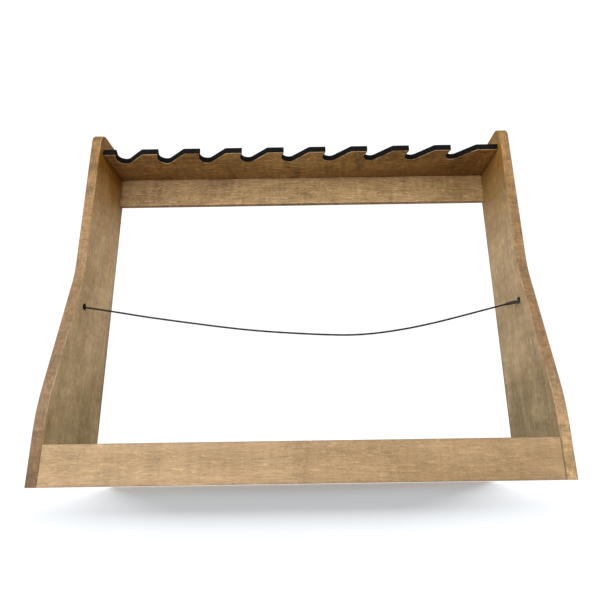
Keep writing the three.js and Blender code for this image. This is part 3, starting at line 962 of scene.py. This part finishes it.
def front_edge():
    """The liner's outer line from left to right: hooked wall, round pocket and ramp, nine times."""
    clear_half = SHELF_HIGH.x
    edge_y = LINER_LOW.y
    meet_depth = NOTCH_MOUTH / (1 / math.tan(NOTCH_RAMP) - math.tan(NOTCH_UNDERCUT))
    line = [(-clear_half, edge_y, 0)]
    for notch in range(NOTCH_COUNT):
        tooth_x = -INNER_HALF + FIRST_TOOTH_WIDTH + notch * NOTCH_PITCH
        lean = meet_depth * math.tan(NOTCH_UNDERCUT)
        line.append((tooth_x, edge_y, TOOTH_TIP_RADIUS))
        line.append((tooth_x - lean, edge_y + meet_depth, NOTCH_POCKET_RADIUS))
        line.append((tooth_x + NOTCH_MOUTH, edge_y, RAMP_END_RADIUS))
    line.append((clear_half, edge_y, 0))
    return line


def make_shelf(material):
    line = front_edge()
    inset = [LINER_THICKNESS + GAP] * (len(line) - 1)
    wood_line = []
    for x, y, radius in shifted(line, inset, closed=False):
        wood_line.append((x, y, max(radius, SHELF_LEAST_RADIUS) if radius else 0))
    corners = [*wood_line, (SHELF_HIGH.x, BACK_Y, 0), (SHELF_LOW.x, BACK_Y, 0)]
    sides = [1.0] * (len(wood_line) - 1) + [CRISP, 1.0, CRISP]
    place = Matrix.Translation((0, 0, SHELF_LOW.z))
    thickness = SHELF_HIGH.z - SHELF_LOW.z
    tones = (1.5, 1)  # the lower arris is the more worn
    mesh, _, _ = plate(corners, thickness, place, SHELF_EASE, SHELF_WEAR_BANDS, sides, tones)
    return shown(mesh, "shelf_board", material, "shelf_wood", "notched_shelf")


def make_liner(material):
    line = front_edge()
    inner = shifted(line, [LINER_THICKNESS] * (len(line) - 1), closed=False)
    corners = [*line, *reversed(inner)]
    place = Matrix.Translation((0, 0, LINER_LOW.z))
    width = LINER_HIGH.z - LINER_LOW.z
    mesh, _, _ = plate(corners, width, place, LINER_EASE)
    felt = shown(mesh, "notch_felt", material, "liner", "notch_liner")
    points = [point for group in rounded(line, closed=False) for point in group]


def straight_board(
    name, node, slot, normal, material, ease=BOARD_EASE, bands=BOARD_WEAR_BANDS, ends=CRISP, tones=(1, 1)
):
    """A board in its CAD box, with its broad faces looking along one axis and its ends butted."""
    low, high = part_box(node)
    if normal == "Y":
        corners = [(low.x, low.z, 0), (high.x, low.z, 0), (high.x, high.z, 0), (low.x, high.z, 0)]
        place = Matrix(((1, 0, 0, 0), (0, 0, -1, high.y), (0, 1, 0, 0), (0, 0, 0, 1)))
        thickness = high.y - low.y
    else:
        corners = [(low.x, low.y, 0), (high.x, low.y, 0), (high.x, high.y, 0), (low.x, high.y, 0)]
        place = Matrix.Translation((0, 0, low.z))
        thickness = high.z - low.z
    mesh, _, _ = plate(corners, thickness, place, ease, bands, [1.0, ends, 1.0, ends], tones)
    return shown(mesh, name, material, slot, node)


def make_plug(name, side, material):
    """An end-grain plug, cut flush and eased at its rim."""
    centre = centre_of(name)
    rim = 0.4 * MM
    profile = [
        (0, -PLUG_LENGTH, 0),
        (PLUG_RADIUS - rim, -PLUG_LENGTH, 0),
        (PLUG_RADIUS, -PLUG_LENGTH + rim, 0),
        *arc(PLUG_RADIUS - rim, -rim, rim, 0, 90, wear=0.8),
        (PLUG_RADIUS * 0.6, 0.05 * MM, 0.2),
        (0, 0.08 * MM, 0.1),
    ]
    facing = 1 if side == "right" else -1
    mesh = spun(profile, outward(facing, OUTER_FACE[side], centre.y, centre.z), 32)
    return shown(mesh, f"{name}_round", material, "plug_wood", name)


def make_wood():
    # Each stretch below is painted shade: it darkens a board's stain near a joint's corner or the panels'
    # back edge.
    back_edge_shade = [("Y", BACK_Y - 7 * MM, BACK_Y - 2 * MM)]
    left_wood = stained_wood("panel_wood_left", "Z", "X", 1.0, LEFT_PANEL_STAIN_AND_SHADE, joints=back_edge_shade)
    make_panel("left", left_wood)
    right_wood = stained_wood("panel_wood_right", "Z", "X", 2.3, RIGHT_PANEL_STAIN_AND_SHADE, joints=back_edge_shade)
    make_panel("right", right_wood)

    butted = ("X", INNER_HALF - 6 * MM, INNER_HALF)
    rail_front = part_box("back_rail")[0].y
    shade_over_rail = ("Y", rail_front - 60 * MM, rail_front + 10 * MM)
    shelf_wood = stained_wood("shelf_wood", "X", "Z", 3.1, SHELF_STAIN_AND_LIGHT, 1.8, [butted, shade_over_rail])
    make_shelf(shelf_wood)

    shade_under_shelf = ("Z", SHELF_LOW.z - 6 * MM, SHELF_LOW.z + 2 * MM)
    back_wood = stained_wood("back_rail_wood", "X", "Y", 4.7, BACK_RAIL_STAIN_AND_LIGHT, 1.3, [butted, shade_under_shelf])
    straight_board("back_rail_board", "back_rail", "back_rail_wood", "Y", back_wood)

    front_wood = stained_wood("front_rail_wood", "X", "Y", 5.9, FRONT_RAIL_STAIN_AND_LIGHT, 0.75)
    straight_board("front_rail_board", "front_rail", "front_rail_wood", "Y", front_wood, tones=(1, -0.4))

    base_wood = stained_wood("base_wood", "X", "Z", 7.2, BASE_STAIN)
    straight_board("floor_board", "base_board", "base_wood", "Z", base_wood)

    plug_wood = stained_wood("plug_wood", "Z", "X", 8.4, PLUG_STAIN)
    for side in OUTER_FACE:
        for name in plug_names(side):
            make_plug(name, side, plug_wood)


def make_felt():
    make_liner(black_felt("liner_felt", (0.0070, 0.0068, 0.0072)))
    pad = straight_board(
        "trough_felt", "base_pad", "pad", "Z", black_felt("pad_felt", (0.018, 0.017, 0.016)),
        ease=0.9 * MM, bands=(0, 0), ends=1.0,
    )


def finish_screws():
    """The screws under the plugs keep their CAD meshes, with a plated finish."""
    plate_finish = zinc_plate()
    for name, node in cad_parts.items():
        if "_screw_" in name:
            node.data.materials.clear()
            node.data.materials.append(plate_finish)


# ---- stage ----


def sun_light(name, azimuth, elevation, spread, strength):
    """A soft, even light from far off. Azimuth 0 comes from the front, and -90 from the left."""
    data = bpy.data.lights.new(name, "SUN")
    data.energy = strength
    data.angle = math.radians(spread)
    light = linked(name, data)
    turn = Matrix.Rotation(math.radians(azimuth), 4, "Z")
    light.matrix_world = turn @ Matrix.Rotation(math.radians(90 - elevation), 4, "X")
    return light


def area_light(name, place, aim, size, power):
    data = bpy.data.lights.new(name, "AREA")
    data.size = size
    data.energy = power
    light = linked(name, data)
    turn = (Vector(aim) - Vector(place)).to_track_quat("-Z", "Y").to_matrix().to_4x4()
    light.matrix_world = Matrix.Translation(place) @ turn
    return light


FLOOR_REACH = 6.0
FLOOR_DROP = 0.5 * MM  # below the rack's feet


def make_floor():
    mesh = bmesh.new()
    bmesh.ops.create_grid(mesh, x_segments=8, y_segments=8, size=FLOOR_REACH)
    floor = in_scene(mesh, "studio_floor")
    floor.location.z = -FLOOR_DROP
    paper = Shader("studio_paper", Roughness=1.0, Specular_IOR_Level=0.0, Base_Color=(0.90, 0.93, 0.96, 1))
    floor.data.materials.append(paper.owner)
    floor.visible_diffuse = False
    floor.visible_glossy = False
    return floor


def light_apart(floor, floor_lights, rack_lights):
    """Some lights fall on the floor alone and the others leave it out, so that its shadow stays soft."""
    for link_state, lights in (("INCLUDE", floor_lights), ("EXCLUDE", rack_lights)):
        for light in lights:
            lit = bpy.data.collections.new(f"lit_by_{light.name}")
            lit.objects.link(floor)
            lit.collection_objects[0].light_linking.link_state = link_state
            light.light_linking.receiver_collection = lit


BACKDROP = (1.1, 1.1, 1.1)
UPPER_LIGHT = (0.42, 0.42, 0.42)
LOWER_LIGHT = (0.30, 0.225, 0.15)
HORIZON_BLUR = 0.15  # how far from the horizon the two lights blend


def make_world():
    """White to the camera. To everything else, an even light, dimmer and warmer from below."""
    shader = Shader("studio", bpy.data.worlds, "Background")
    place = shader.node("ShaderNodeTexCoord").outputs["Generated"]
    split = shader.node("ShaderNodeSeparateXYZ", Vector=place)
    height = shader.between(split.outputs["Z"], -HORIZON_BLUR, HORIZON_BLUR)
    light = shader.mix(height, (*LOWER_LIGHT, 1), (*UPPER_LIGHT, 1))
    to_camera = shader.node("ShaderNodeLightPath").outputs["Is Camera Ray"]
    bpy.context.scene.world = shader.finish(Color=shader.mix(to_camera, light, (*BACKDROP, 1)))


# Suns: name, azimuth, elevation, spread and strength.
KEY_LEFT = ("key_left", -52, 13, 44, 2.05)
KEY_RIGHT = ("key_right", 52, 13, 44, 2.05)
BEHIND = ("behind", 180, 21, 20, 3.2)
FRONT = ("front", (-0.6, -1.9, 0.3), (-0.05, 0, 0.25), 1.0, 25)  # name, place, aim, size and power

# Azimuths, elevation, spread and strength of the floor's own lights.
FLOOR_WASHES = (
    ((0,), 30, 30, 0.28),
    ((130, 180, 230), 18, 24, 0.50),
    ((164, 172, 180, 188, 196), 10, 7, 2.4),
)
SHADE_HALF_WIDTH = 0.30  # at its foot
SHADE_TOP_HALF_WIDTH = 0.20
SHADE_MARGIN = 1 * MM  # inside the front rail


def make_shade():
    """A card inside the front rail, narrower at its top. It alone shades the floor's own lights, so
    that the shadow fades before the rack's ends and narrows towards the front."""
    low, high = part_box("front_rail")
    y = (low.y + high.y) / 2
    bottom = low.z + SHADE_MARGIN
    top = high.z - SHADE_MARGIN
    corners = [
        (-SHADE_HALF_WIDTH, y, bottom),
        (SHADE_HALF_WIDTH, y, bottom),
        (SHADE_TOP_HALF_WIDTH, y, top),
        (-SHADE_TOP_HALF_WIDTH, y, top),
    ]
    mesh = bmesh.new()
    mesh.faces.new([mesh.verts.new(corner) for corner in corners])
    shade = in_scene(mesh, "floor_shade")
    return shade


def make_stage():
    floor = make_floor()
    make_world()
    key_left = sun_light(*KEY_LEFT)
    key_right = sun_light(*KEY_RIGHT)
    front = area_light(*FRONT)
    behind = sun_light(*BEHIND)
    behind.visible_glossy = False  # no streaks along the panels
    shade_alone = bpy.data.collections.new("shades_the_floor")
    shade_alone.objects.link(make_shade())
    washes = []
    for azimuths, elevation, spread, strength in FLOOR_WASHES:
        for azimuth in azimuths:
            wash = sun_light(f"floor_wash_{azimuth}_{spread}", azimuth, elevation, spread, strength)
            wash.light_linking.blocker_collection = shade_alone
            washes.append(wash)
    light_apart(floor, washes, (key_left, key_right, front, behind))
    bpy.context.scene.view_settings.view_transform = "Standard"


make_camera()
make_cable()
make_wood()
make_felt()
finish_screws()
make_stage()
